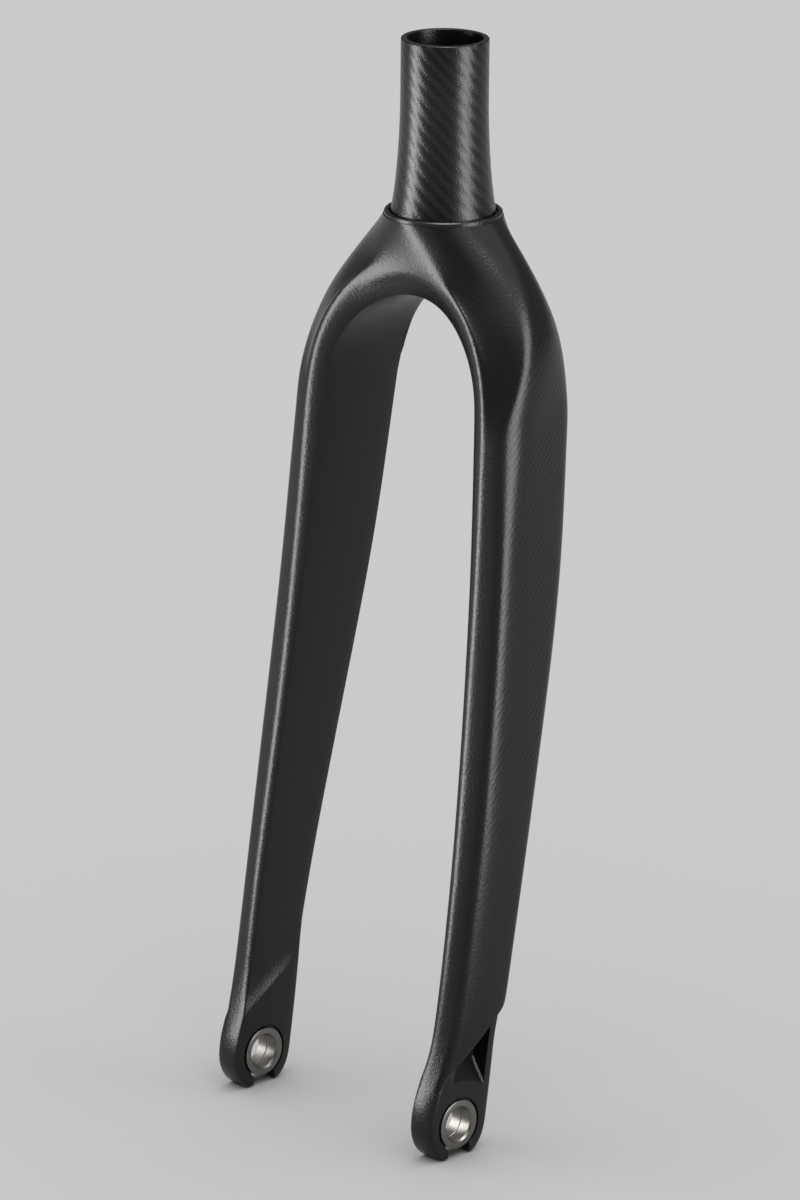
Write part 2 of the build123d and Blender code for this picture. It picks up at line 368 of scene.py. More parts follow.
ARCH_LINES = (Line.FRONT, Line.RIDGE, Line.EDGE, Line.IN_FRONT, Line.IN_BACK, Line.TAIL_IN)
FRONT_LINES = (Line.RIDGE, Line.FRONT, Line.TURN, Line.CORNER)
OUTER_LINES = (Line.CORNER, Line.OUT_FRONT, Line.OUT_MID, Line.OUT_BACK, Line.TAIL_OUT)
# Lines that run up from the blade into the outside of the crown.
SHOULDER_LINES = tuple(Line)[Line.FRONT : Line.TAIL_IN + 1]
# Lines of the inner face, with the share of the way from its front to its back.
INNER_SHARES = {Line.EDGE: 0.0, Line.IN_FRONT: 0.34, Line.IN_BACK: 0.68, Line.TAIL_IN: 1.0}
INNER_LINES = tuple(INNER_SHARES)
# The same for the two lines in the middle of the outer face.
FLANK_SHARES = {Line.OUT_MID: 0.5, Line.OUT_BACK: 0.84}

# How firmly smoothing leaves each line: 0 rounds it off and 1 keeps it sharp.
BLADE_CREASES = {Line.EDGE: 0.7, Line.RIDGE: 0.1, Line.TAIL_IN: 0.4, Line.OUT_FRONT: 0.15}
ARCH_CREASES = {Line.EDGE: 0.8, Line.RIDGE: 0.15, Line.TAIL_IN: 0.4}
PLATE_CREASES = {Line.EDGE: 0.85, Line.CORNER: 0.5, Line.OUT_FRONT: 0.3, Line.TAIL_OUT: 0.5}


def mix(start: float, end: float, share: float) -> float:
    """Value a share of the way from start to end."""
    return start + (end - start) * share


def through(knots: Knots, place: float) -> float:
    """Reads a smooth curve that passes through given knots.

    Args:
        knots: pairs of place and value, in rising order of place.
        place: where to read the curve. Past the ends it keeps the end value.

    Returns:
        The curve's value.
    """
    if place <= knots[0][0]:
        return knots[0][1]
    if place >= knots[-1][0]:
        return knots[-1][1]
    last = len(knots) - 1
    at = max(i for i in range(last) if knots[i][0] <= place)
    slopes = []
    for i in (at, at + 1):
        before = knots[max(i - 1, 0)]
        after = knots[min(i + 1, last)]
        slopes.append((after[1] - before[1]) / (after[0] - before[0]))
    span = knots[at + 1][0] - knots[at][0]
    t = (place - knots[at][0]) / span
    return (
        (1 + 2 * t) * (1 - t) ** 2 * knots[at][1]
        + t * (1 - t) ** 2 * span * slopes[0]
        + t * t * (3 - 2 * t) * knots[at + 1][1]
        + t * t * (t - 1) * span * slopes[1]
    )


def powers(factors: Sequence[float], value: float) -> float:
    """Sum of a value's powers, each times its factor, from the constant up."""
    return sum(factor * value**power for power, factor in enumerate(factors))


def on_axle(x: float, height: float) -> Vector:
    """Place in metres, from a distance across and a height above the axle in millimetres."""
    return Vector((x, -AXLE_FORWARD, AXLE_LEVEL + height)) * MM


def pick(piece: Any) -> None:
    """Makes a piece the active one and the only one selected.

    Args:
        piece: the piece.
    """
    bpy.ops.object.select_all(action="DESELECT")
    bpy.context.view_layer.objects.active = piece
    piece.select_set(True)


def face_outwards() -> None:
    """Turns all the active piece's faces outwards."""
    bpy.ops.object.mode_set(mode="EDIT")
    bpy.ops.mesh.select_all(action="SELECT")
    bpy.ops.mesh.normals_make_consistent(inside=False)
    bpy.ops.object.mode_set(mode="OBJECT")


def settle(piece: Any, place: Matrix) -> None:
    """Moves a new piece to its place and puts that into its mesh, with its faces turned outwards.

    Args:
        piece: the piece, whose object is at the origin.
        place: where it goes.
    """
    pick(piece)
    piece.matrix_world = place
    bpy.ops.object.transform_apply(location=True, rotation=True, scale=True)
    face_outwards()


class Core(Enum):
    """What is inside a turned piece."""

    SOLID = "NGON"
    OPEN = "NOTHING"


def turned(name: str, profile: Sequence[Pair], core: Core) -> Any:
    """Turns a piece, as on a lathe.

    Args:
        name: name of the piece.
        profile: pairs of distance along the axis and radius, in millimetres. A solid piece runs from
            end to end, and an open one goes round its wall.
        core: whether the piece is solid or open.

    Returns:
        The piece, with its axis along Z.
    """
    bpy.ops.object.select_all(action="DESELECT")
    start, radius = profile[0]
    bpy.ops.mesh.primitive_circle_add(
        vertices=TURNED_FACETS, radius=radius * MM, fill_type=core.value, location=(0, 0, start * MM)
    )
    if core == Core.OPEN:
        profile = [*profile, profile[0]]
    piece = bpy.context.object
    piece.name = name
    bpy.ops.object.transform_apply(location=True)
    bpy.ops.object.mode_set(mode="EDIT")
    for (along, wide), (next_along, next_wide) in zip(profile, profile[1:]):
        bpy.ops.mesh.extrude_region_move(
            TRANSFORM_OT_translate={"value": (0, 0, (next_along - along) * MM)}
        )
        grow = next_wide / wide
        bpy.ops.transform.resize(value=(grow, grow, grow))
    bpy.ops.mesh.select_all(action="SELECT")
    bpy.ops.mesh.remove_doubles(threshold=TURNED_MERGE)
    bpy.ops.object.mode_set(mode="OBJECT")
    return piece


def hopper(name: str, mouth: Knots, floor: Knots, depth: float) -> Any:
    """Makes a block whose sides slope from one outline to another below it.

    Args:
        name: name of the piece.
        mouth: corners as forward distance, which is -X here, and height, which is Y, in millimetres.
            The block also stands out above them.
        floor: as many corners for its lower end.
        depth: how far the lower end is below the XY plane, in millimetres.

    Returns:
        The piece.
    """
    bpy.ops.object.select_all(action="DESELECT")
    bpy.ops.mesh.primitive_circle_add(vertices=len(mouth), radius=MM, fill_type="NGON")
    piece = bpy.context.object
    piece.name = name
    for vertex, (forward, height) in zip(piece.data.vertices, mouth):
        vertex.co = Vector((-forward, height, OVERRUN)) * MM
    bpy.ops.object.mode_set(mode="EDIT")
    bpy.ops.mesh.select_all(action="SELECT")
    for drop in (OVERRUN, depth):
        bpy.ops.mesh.extrude_region_move(TRANSFORM_OT_translate={"value": (0, 0, -drop * MM)})
    bpy.ops.object.mode_set(mode="OBJECT")
    low = [vertex for vertex in piece.data.vertices if vertex.select]
    for above, below in zip(mouth, floor):
        start, end = (Vector((-forward, height, -depth)) * MM for forward, height in (above, below))
        nearest = min(low, key=lambda vertex: (vertex.co - start).length)
        nearest.co = end
        low.remove(nearest)
    return piece


def carve(piece: Any, cutter: Any) -> None:
    """Cuts one solid out of a piece and throws the cutter away.

    Args:
        piece: the piece.
        cutter: the solid.
    """
    pick(piece)
    cut = piece.modifiers.new("cut", "BOOLEAN")
    cut.operation = "DIFFERENCE"
    cut.solver = "EXACT"
    cut.object = cutter
    bpy.ops.object.modifier_apply(modifier=cut.name)
    bpy.data.objects.remove(cutter, do_unlink=True)


class Cage:
    """Coarse mesh that smoothing turns into a skin."""

    def __init__(self) -> None:
        """Starts an empty cage."""
        self.mesh = bmesh.new()
        self.creases = self.mesh.edges.layers.float.new("crease_edge")

    def plant(self, points: Sequence[Vector]) -> list[Any]:
        """Makes a vertex for each point, in metres and with forward turned to -Y."""
        return [self.mesh.verts.new((p.x * MM, -p.y * MM, p.z * MM)) for p in points]

    def skin(self, rows: Sequence[Sequence[Any]]) -> None:
        """Joins each row of vertices to the next with quads.

        Args:
            rows: rows of the same length. A closed row ends with the vertex that it starts with.
        """
        for above, below in zip(rows, rows[1:]):
            for i in range(len(above) - 1):
                self.mesh.faces.new((above[i], above[i + 1], below[i + 1], below[i]))

    def sharpen(self, run: Sequence[Any], sharpness: float) -> None:
        """Holds the edges along a run of vertices, from not at all at 0 to wholly at 1."""
        for start, end in zip(run, run[1:]):
            self.mesh.edges.get((start, end))[self.creases] = sharpness


@dataclass(frozen=True)
class Blade:
    """One fork blade, from the wheel arch down to the slanted line where its dropout begins."""

    # Limits of the blade: pairs of level and distance from the middle, or forward distance.
    inner: Knots = ((-375, 57), (-310, 56.6), (-240, 54.2), (-160, 50.2), (-120, 47.7), (-81, 45))
    outer: Knots = ((-375, 68.2), (-350, 71.2), (-310, 72), (-240, 71.4), (-160, 69), (-81, 66.6))
    nose_foot: Knots = ((-375, 66.9), (-369, 64.6), (-362, 62.3), (-350, 59.4))
    nose: Knots = (*nose_foot, (-310, 53.2), (-240, 43.4), (-160, 34.6), (-81, 28.6))
    tail: Knots = ((-375, 34), (-350, 28.9), (-310, 20.9), (-240, 5.2), (-160, -11.4), (-81, -20.9))
    # Shares at each level: of the arch's bevel that is left, of the front corner's rounding, and of
    # its swelling under the crown.
    band: Knots = ((-374, 0.05), (-330, 0.4), (-200, 0.5), (-81, 1))
    soft: Knots = ((-374, 0.1), (-330, 0.75), (-240, 0.85), (-160, 1))
    plump: Knots = ((-160, 0), (-122, 0.25), (-95, 1), (-81, 1))
    bevel_width: float = 7.2
    bevel_setback: float = 3.0
    ridge_lead: float = 0.6
    front_share: float = 0.26
    front_back: float = 0.15
    turn_share: float = 0.58
    turn_back: float = 1.4
    corner_in: float = 2.4
    corner_back: float = 2.6
    corner_plump_in: float = 1.2
    side_in: float = 0.7
    side_plump_out: float = 0.2
    side_back: float = 1.6
    side_soft_back: float = 6.6
    side_plump_back: float = 3.6
    flank_in: float = 0.6
    flank_back: float = 3.6
    flank_swell: float = 0.9
    tail_width: float = 14.6
    tail_out_in: float = 0.4
    tail_out_lead: Knots = ((-340, 0.2), (-240, 1.6))
    tail_share: float = 0.55
    tail_bulge: float = 0.1
    tail_corner: float = 0.4
    levels: Run = (SPRING, -92, -108, -128, -152, -180, -210, -240, -270, -296)
    # Rings below those: how far each leans to the slanted line, and its height above that.
    slants: Knots = ((0.3, 0), (0.62, 0), (1, 12), (1, 5))
    slant_top: float = -318.0
    slant_rounds: int = 6
    # Ends of the slanted line, ahead of the axle and above it.
    heel: Pair = (-22.9, 50.0)
    toe: Pair = (11.2, 21.0)
    # The line runs lower on the inner face, where the blade swells a little above it.
    inner_drop: float = 8.0
    tail_drop_share: float = 0.5
    inner_swell: float = 0.5

    def point(self, line: Line, z: float) -> tuple[float, float]:
        """Place of one lengthwise line at a level of the blade.

        Args:
            line: which line.
            z: level.

        Returns:
            Distance from the middle, and forward distance.
        """
        runs = (self.inner, self.outer, self.nose, self.tail, self.band, self.soft, self.plump)
        inner, outer, nose, tail, band, soft, plump = (through(run, z) for run in runs)
        ridge = inner + self.bevel_width * band
        rear_x = min(inner + self.tail_width, outer - self.tail_out_in)
        rear = tail + through(self.tail_out_lead, z)
        if line in FLANK_SHARES:
            share = FLANK_SHARES[line]
            swell = 4 * self.flank_swell * share * (1 - share)
            x = mix(outer - self.flank_in, rear_x, share) + swell
            return x, mix(nose - self.flank_back, rear, share)
        corner = outer - self.corner_in - self.corner_plump_in * plump
        side = outer - self.side_in + self.side_plump_out * plump
        shoulder = nose - self.side_back - self.side_soft_back * soft - self.side_plump_back * plump
        places = {
            Line.EDGE: (inner, nose - self.bevel_setback * band),
            Line.RIDGE: (ridge, nose + self.ridge_lead * band),
            Line.FRONT: (mix(ridge, outer, self.front_share), nose - self.front_back * soft),
            Line.TURN: (mix(ridge, outer, self.turn_share), nose - self.turn_back * soft),
            Line.CORNER: (corner, nose - self.corner_back * soft),
            Line.OUT_FRONT: (side, shoulder),
            Line.TAIL_OUT: (rear_x, rear),
            Line.TAIL: (mix(inner, rear_x, self.tail_share), tail - self.tail_bulge),
            Line.TAIL_IN: (inner + self.tail_corner, tail + self.tail_corner),
            Line.IN_BACK: (inner, mix(nose, tail, INNER_SHARES[Line.IN_BACK])),
            Line.IN_FRONT: (inner, mix(nose, tail, INNER_SHARES[Line.IN_FRONT])),
        }
        return places[line]

    def slanted_ring(self, share: float, painted_sheen: float) -> list[Vector]:
        """Ring part way between a level ring and the slanted line.

        Args:
            share: 0 for level, 1 for the slanted line.
            painted_sheen: distance above that.

        Returns:
            The ring's points.
        """
        lower = {**INNER_SHARES, Line.TAIL: self.tail_drop_share}
        slope = (self.toe[1] - self.heel[1]) / (self.toe[0] - self.heel[0])
        ring = []
        for line in Line:
            drop = self.inner_drop * share * lower.get(line, 0)
            z = self.slant_top
            # A line's place depends on its level and its level on its place, so both close in.
            for _ in range(self.slant_rounds):
                x, forward = self.point(line, z)
                level = AXLE_LEVEL + self.heel[1] + slope * (forward - AXLE_FORWARD - self.heel[0])
                z = mix(self.slant_top, level, share) + painted_sheen - drop
            ring.append(Vector((x, forward, z)))
        return ring

    def rings(self) -> list[list[Vector]]:
        """Rings of the blade.

        Returns:
            The rings from the wheel arch down, without the one on the slanted line.
        """
        rings = [[Vector((*self.point(line, z), z)) for line in Line] for z in self.levels]
        rings += [self.slanted_ring(share, painted_sheen) for share, painted_sheen in self.slants]
        for line in INNER_LINES:
            rings[-1][line].x -= self.inner_swell
        return rings


@dataclass(frozen=True)
class Crown:
    """Crown: its outside, from the collar down to the blades, its wheel arch and the seat on top."""

    blade: Blade = Blade()
    steps: int = 6
    collar: float = -2.0
    arch_steps: int = 6
    # Half width and rise of the wheel arch's mouth, of the ridge round it and of the hem in front of that.
    arch_mouth: Pair = (45.0, 45.0)
    arch_ridge: Pair = (52.2, 56.4)
    arch_hem: Pair = (55.94, 59.9)
    # Forward distance of each line, as factors of the powers of the share of its rise.
    edge_sweep: Run = (25.6, -4.0, -3.9, 0.0, 0.0, 0.0, -2.8)
    ridge_sweep: Run = (29.2, -4.2, -3.8)
    hem_sweep: Run = (28.45, -6.2, -0.45)
    back_sweep: Run = (-20.5, -1.9)
    # Reach of the crown sideways, ahead and back at each level.
    width: Knots = ((-110, 68), (-81, 66.6), (-60, 65), (-40, 58.8), (-17, 42.0), (-2, 26.2), (6, 20))
    ahead: Knots = ((-110, 31), (-81, 28.6), (-40, 23.2), (-25, 21.6), (-17, 22.6), (-2, 26.2), (6, 29))
    behind: Knots = ((-110, 19), (-81, 20.9), (-40, 23.2), (-17, 22.0), (-2, 26.2), (6, 31))
    # How square its front and its back are at each level. At 2 they are elliptic.
    front_square: Knots = ((-81, 3.9), (-60, 3.1), (-40, 2.6), (-17, 2.0), (-2, 2.0))
    back_square: Knots = ((-81, 3.9), (-60, 3.8), (-40, 3.15), (-17, 2.45), (-2, 2.0))
    # Direction of each column at the collar, in degrees round from the front.
    front_tops: Run = (0, 12, 24, 36, 48, 60, 71, 82, 93, 99, 104)
    tops: Run = (*front_tops, 109, 114, 119, 125, 133, 142, 151, 160.5, 170, 180)
    # Degrees that some columns swing out half way down, so that they don't fold over the arch's ridge.
    swings: Knots = ((3, 2), (4, 4), (5, 6), (6, 6), (7, 4), (8, 2))
    turn_ease: float = 1.2
    end_ease: float = 2.0
    rim_radius: float = 25.8
    rim_edge: float = 0.5
    groove_mouth_radius: float = 24.3
    groove_radius: float = 23.85
    groove_edge: float = 0.4
    socket_radius: float = 19.15
    bore_floor: float = -29.0
    bore_floor_radius: float = 8.0

    def arch_run(self, line: Line) -> list[Vector]:
        """Places a line that runs over the wheel arch.

        Args:
            line: one of the arch lines.

        Returns:
            Its points, from the first above the blade to the top.
        """
        sizes = {Line.FRONT: self.arch_hem, Line.RIDGE: self.arch_ridge}
        half_width, rise = sizes.get(line, self.arch_mouth)
        sweep = {Line.FRONT: self.hem_sweep, Line.RIDGE: self.ridge_sweep}.get(line, self.edge_sweep)
        points = []
        for step in range(1, self.arch_steps + 1):
            turn = math.pi / 2 * step / self.arch_steps
            side = math.cos(turn) if step < self.arch_steps else 0.0
            up = math.sin(turn)
            forward = mix(powers(sweep, up), powers(self.back_sweep, up), INNER_SHARES.get(line, 0.0))
            points.append(Vector((half_width * side, forward, SPRING + rise * up)))
        return points

    def hull_point(self, z: float, angle: float) -> Vector:
        """Place on the crown's smooth outer form.

        Args:
            z: level.
            angle: direction round the steerer, from 0 at the front to pi at the back.

        Returns:
            The point.
        """
        across, along = math.sin(angle), math.cos(angle)
        width = through(self.width, z)
        depth = through(self.ahead if along >= 0 else self.behind, z)
        square = through(self.front_square if along >= 0 else self.back_square, z)
        reach = ((abs(across) / width) ** square + (abs(along) / depth) ** square) ** (-1 / square)
        return Vector((reach * across, reach * along, z))

    def rings(self) -> list[list[Vector]]:
        """Rings of the crown's outside between the collar and the wheel arch.

        Returns:
            The rings from the top, without the lowest, which the arch and the blades share.
        """
        swings = dict(self.swings)
        ends = self.arch_run(Line.FRONT)[::-1]
        ends += [Vector((*self.blade.point(line, SPRING), SPRING)) for line in SHOULDER_LINES]
        ends += self.arch_run(Line.TAIL_IN)
        rings = []
        for step in range(self.steps):
            share = step / self.steps
            ring = []
            for column, (top, end) in enumerate(zip(self.tops, ends)):
                low = math.atan2(end.x, end.y)
                swing = math.radians(swings.get(column, 0)) * 4 * share * (1 - share)
                angle = mix(math.radians(top), low, share**self.turn_ease) + swing
                at = self.hull_point(mix(self.collar, end.z, share), angle)
                ring.append(at + (end - self.hull_point(end.z, low)) * share**self.end_ease)
            rings.append(ring)
        return rings

    def seat_rings(self) -> list[list[Vector]]:
        """Rings of the bearing seat and of the bore under it.

        Returns:
            The rings from the collar inwards and down.
        """
        rim, groove, socket, floor = self.rim_radius, self.groove_radius, self.socket_radius, self.bore_floor
        profile = [(rim, self.collar), (rim, -self.rim_edge), (rim - self.rim_edge, 0.0)]
        profile += [(self.groove_mouth_radius, 0.0), (groove, -self.groove_edge), (groove, -SEAT_DEPTH)]
        profile += [(socket, -SEAT_DEPTH), (socket, -SOCKET_DEPTH), (STEERER_BORE, -SOCKET_DEPTH)]
        profile += [(STEERER_BORE, floor), (self.bore_floor_radius, floor)]
        turns = [math.radians(top) for top in self.tops]
        return [
            [Vector((radius * math.sin(turn), radius * math.cos(turn), z)) for turn in turns]
            for radius, z in profile
        ]


@dataclass(frozen=True)
class Dropout:
    """Plate under a blade that holds the axle, with the cutters that shape it.

    Its heights and forward distances are measured from the axle.
    """

    # Pairs of height and forward distance of the plate's front and back.
    front_foot: Knots = ((-18, 1), (-16, 8.2), (-12, 13.4), (-6, 17), (0, 18))
    front: Knots = (*front_foot, (5, 17.3), (11, 16.0), (15, 14.5), (20.5, 12.2), (34, 9.0))
    back: Knots = ((-18, -1), (-16, -8.2), (-12, -13.4), (-6, -17), (2, -18), (20, -20.6), (50, -24.0))
    # Heights of each ring's front and back.
    ring_heights: Knots = ((15, 38), (10, 25), (4, 12), (-2, 2), (-8, -7), (-13, -13), (-16.5, -16.5))
    ridge_in: float = 0.9
    front_in: float = 4.5
    corner_in: float = 1.0
    tail_in: float = 0.5
    bush_radius: float = 9.05
    recess_radius: float = 12.2
    recess_chamfer: float = 0.3
    recess_depth: float = 1.5
    foot_height: float = -14.3
    foot_length: float = 60.0
    slot_height: float = -2.0
    slot_length: float = 13.0
    saw_width: float = 24.0
    saw_depth: float = 30.0
    # Corners of the set-back web's pocket, ahead of the axle and above it, at the face and at its floor.
    web_mouth: Knots = (
        *((-19.6, 46.0), (-11.0, 38.8), (-3.0, 32.0), (5.2, 25.0), (4.0, 19.8)),
        *((-2.5, 19.8), (-8.4, 18.0), (-14.3, 15.0), (-15.3, 15.9), (-17.2, 30.0)),
    )
    web_floor: Knots = (
        *((-18.8, 44.6), (-11.0, 38.2), (-6.0, 33.8), (-3.6, 31.6), (-6.2, 29.4)),
        *((-9.6, 27.6), (-12.2, 26.4), (-13.8, 26.0), (-14.9, 26.8), (-16.2, 32.4)),
    )
    web_depth: float = 6.5

    def rings(self) -> list[list[Vector]]:
        """Rings of the plate.

        Returns:
            The rings from the top down.
        """
        # Distance of each line from the middle, and its share of the way from front to back.
        places = {
            Line.EDGE: (HUB_FACE, 0.01),
            Line.RIDGE: (HUB_FACE + self.ridge_in, 0.0),
            Line.FRONT: (HUB_FACE + self.front_in, -0.005),
            Line.TURN: (PLATE_FACE - self.front_in, -0.001),
            Line.CORNER: (PLATE_FACE - self.corner_in, 0.016),
            Line.OUT_FRONT: (PLATE_FACE, 0.065),
            Line.OUT_MID: (PLATE_FACE, 0.5),
            Line.OUT_BACK: (PLATE_FACE, 0.9),
            Line.TAIL_OUT: (PLATE_FACE - self.tail_in, 0.985),
            Line.TAIL: (mix(HUB_FACE, PLATE_FACE, 0.5), 1.0),
            Line.TAIL_IN: (HUB_FACE + self.tail_in, 0.985),
            Line.IN_BACK: (HUB_FACE, INNER_SHARES[Line.IN_BACK]),
            Line.IN_FRONT: (HUB_FACE, INNER_SHARES[Line.IN_FRONT]),
        }
        rings = []
        for front, back in self.ring_heights:
            ring = []
            for line in Line:
                x, share = places[line]
                height = mix(front, back, share)
                forward = mix(through(self.front, height), through(self.back, height), share)
                ring.append(Vector((x, AXLE_FORWARD + forward, AXLE_LEVEL + height)))
            rings.append(ring)
        return rings

    def cutters(self, side: Side) -> list[Any]:
        """Makes the tools that cut a dropout.

        Args:
            side: which dropout.

        Returns:
            The stepped drill for its bush hole and the recesses round the flanges, the saws for its flat
            foot and for the slot under the axle, and the mill for its set-back web.
        """
        mouth = self.recess_radius + self.recess_chamfer
        half = (
            (-OVERRUN, mouth),
            (0.0, mouth),
            (self.recess_chamfer, self.recess_radius),
            (self.recess_depth, self.recess_radius),
            (self.recess_depth, self.bush_radius),
        )
        profile = [(HUB_FACE + along, radius) for along, radius in half]
        profile += [(PLATE_FACE - along, radius) for along, radius in reversed(half)]
        drill = turned("bush_drill", profile, Core.SOLID)
        place = Matrix.Rotation(side * math.pi / 2, 4, "Y")
        place.translation = on_axle(0, 0)
        settle(drill, place)
        tools = [drill]
        middle = mix(HUB_FACE, PLATE_FACE, 0.5) * side
        foot = ("foot_saw", self.foot_length, self.foot_height)
        slot = ("slot_saw", self.slot_length, self.slot_height)
        for name, length, top in (foot, slot):
            bpy.ops.object.select_all(action="DESELECT")
            bpy.ops.mesh.primitive_cube_add(size=1)
            saw = bpy.context.object
            saw.name = name
            place = Matrix.Diagonal((self.saw_width * MM, length * MM, self.saw_depth * MM, 1))
            place.translation = on_axle(middle, top - self.saw_depth / 2)
            settle(saw, place)
            tools.append(saw)
        mill = hopper("web_mill", self.web_mouth, self.web_floor, self.web_depth)
        place = Matrix(((0, 0, side, 0), (1, 0, 0, 0), (0, 1, 0, 0), (0, 0, 0, 1)))
        place.translation = on_axle(side * PLATE_FACE, 0)
        settle(mill, place)
        return [*tools, mill]


@dataclass(frozen=True)
class ForkShell:
    """Crown, blades and dropouts: one moulded skin, drawn as a cage and then smoothed and cut."""

    crown: Crown = Crown()
    dropout: Dropout = Dropout()
    # The step where a blade ends and its dropout begins.
    step_depth: float = 0.8
    step_share: float = 0.4
    step_tail: tuple[float, float, float] = (0.8, 0.5, 0.0)
    seat_crease: float = 1.0
    slant_crease: float = 0.9
    slant_inner_crease: float = 0.8
    step_crease: float = 0.6
    # The ridge is crisper over the top of the arch, from this step up.
    ridge_top_step: int = 4
    ridge_top_crease: float = 0.6
    mirror_merge: float = 0.02
    smooth_levels: int = 2
    edge_angle: float = math.radians(32)

    def leg_rings(self) -> list[list[Vector]]:
        """Rings of a blade and its dropout.

        Returns:
            The rings from the wheel arch down.
        """
        blade = self.crown.blade
        edge = blade.slanted_ring(1, 0)
        step = [point.copy() for point in edge]
        for line in INNER_LINES:
            edge[line].x = HUB_FACE
            step[line].x = HUB_FACE
        for line in OUTER_LINES:
            step[line].x = min(step[line].x, PLATE_FACE)
        for point in step:
            point.z -= self.step_depth
        plate = self.dropout.rings()
        for line in FRONT_LINES:
            step[line] = edge[line].lerp(plate[0][line], self.step_share)
        for ring in (edge, step):
            ring[Line.TAIL_IN] += Vector(self.step_tail)
        return [*blade.rings(), edge, step, *plate]

    def build(self, material: Any) -> Any:
        """Builds the skin.

        Args:
            material: its finish.

        Returns:
            The finished piece.
        """
        cage = Cage()
        legs = [cage.plant(ring) for ring in self.leg_rings()]
        cage.skin([[*ring, ring[0]] for ring in legs])
        cage.mesh.faces.new(legs[-1])
        slant, step, *plate = legs[len(self.crown.blade.levels) + len(self.crown.blade.slants) :]
        for creases, rings in ((BLADE_CREASES, legs), (PLATE_CREASES, [step, *plate])):
            for line, sharpness in creases.items():
                cage.sharpen([ring[line] for ring in rings], sharpness)
        cage.sharpen([slant[line] for line in OUTER_LINES[1:]], self.slant_crease)
        cage.sharpen([step[line] for line in OUTER_LINES[1:]], self.step_crease)
        cage.sharpen([slant[line] for line in INNER_LINES[1:]], self.slant_inner_crease)

        arch = {line: [legs[0][line], *cage.plant(self.crown.arch_run(line))] for line in ARCH_LINES}
        cage.skin([arch[line] for line in ARCH_LINES])
        for line, sharpness in ARCH_CREASES.items():
            cage.sharpen(arch[line], sharpness)
        cage.sharpen(arch[Line.RIDGE][self.ridge_top_step :], self.ridge_top_crease)

        crown = [cage.plant(ring) for ring in self.crown.rings()]
        shoulder = [legs[0][line] for line in SHOULDER_LINES]
        cage.skin([*crown, [*arch[Line.FRONT][:0:-1], *shoulder, *arch[Line.TAIL_IN][1:]]])
        seat = [crown[0], *[cage.plant(ring) for ring in self.crown.seat_rings()]]
        cage.skin(seat)
        for ring in seat[:-1]:
            cage.sharpen(ring, self.seat_crease)
        centre = cage.plant([Vector((0, 0, self.crown.bore_floor))])[0]
        for start, end in zip(seat[-1], seat[-1][1:]):
            cage.mesh.faces.new((start, end, centre))

        bmesh.ops.recalc_face_normals(cage.mesh, faces=cage.mesh.faces[:])
        data = bpy.data.meshes.new("fork_shell")
        cage.mesh.to_mesh(data)
        cage.mesh.free()
        shell = bpy.data.objects.new("fork_shell", data)
        bpy.context.scene.collection.objects.link(shell)
        self.finish(shell)
        dress(shell, material)
        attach(shell, "root")
        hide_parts("fork_body")
        return shell

    def finish(self, shell: Any) -> None:
        """Mirrors, smooths and cuts the skin.

        Args:
            shell: the skin.
        """
        pick(shell)
        mirror = shell.modifiers.new("mirror", "MIRROR")
        mirror.use_axis = (True, False, False)
        mirror.merge_threshold = self.mirror_merge * MM
        bpy.ops.object.modifier_apply(modifier=mirror.name)
        face_outwards()
        smooth = shell.modifiers.new("smooth", "SUBSURF")
        smooth.levels = self.smooth_levels
        smooth.render_levels = self.smooth_levels
        bpy.ops.object.modifier_apply(modifier=smooth.name)
        for side in Side:
            for cutter in self.dropout.cutters(side):
                carve(shell, cutter)
        pick(shell)
        bpy.ops.object.shade_smooth_by_angle(angle=self.edge_angle)


@dataclass(frozen=True)
class SteererTube:
    """Tapered steerer that flares into the bearing seat, open at the top."""

    length: float = 75.5
    foot_radius: float = 22.85
    taper_height: float = 50.0
    taper_ease: float = 30.0
    flare_height: float = 8.0
    flare_foot: float = 1.995
    taper_steps: int = 28
    # Points of the rounded rim, up and out from the corners of the bore and of the outside.
    bore_rim: Knots = ((-0.4, 0.0), (-0.2, 0.05), (-0.05, 0.2), (0.0, 0.4))
    outer_rim: Knots = ((0.0, -0.5), (-0.07, -0.25), (-0.25, -0.07), (-0.5, 0.0))

    def profile(self) -> list[Pair]:
        """Profile of the tube's wall.

        Returns:
            Pairs of height and radius, up the bore and down the outside.
        """
        wall = [(-SOCKET_DEPTH, STEERER_BORE)]
        for radius, rim in ((STEERER_BORE, self.bore_rim), (STEERER_RADIUS, self.outer_rim)):
            wall += [(self.length + up, radius + out) for up, out in rim]
        heights = (self.taper_height, self.taper_ease, self.flare_height, 0.0)
        radii = (STEERER_RADIUS, STEERER_RADIUS, self.foot_radius - self.flare_foot, self.foot_radius)
        for step in range(self.taper_steps + 1):
            t = step / self.taper_steps
            parts = ((1 - t) ** 3, 3 * t * (1 - t) ** 2, 3 * t * t * (1 - t), t**3)
            height = sum(part * value for part, value in zip(parts, heights))
            radius = sum(part * value for part, value in zip(parts, radii))
            wall.append((height, radius))
        wall += [(-SEAT_DEPTH, self.foot_radius), (-SEAT_DEPTH, STEERER_RADIUS)]
        return [*wall, (-SOCKET_DEPTH, STEERER_RADIUS)]

    def build(self, material: Any) -> Any:
        """Builds the tube.

        Args:
            material: its finish.

        Returns:
            The finished piece.
        """
        tube = turned("steerer_sleeve", self.profile(), Core.OPEN)
        settle(tube, Matrix.Identity(4))
        bpy.ops.object.shade_smooth_by_angle(angle=TURNED_EDGE)
        dress(tube, material)
        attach(tube, "root")
        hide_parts("steerer_tube")
        return tube


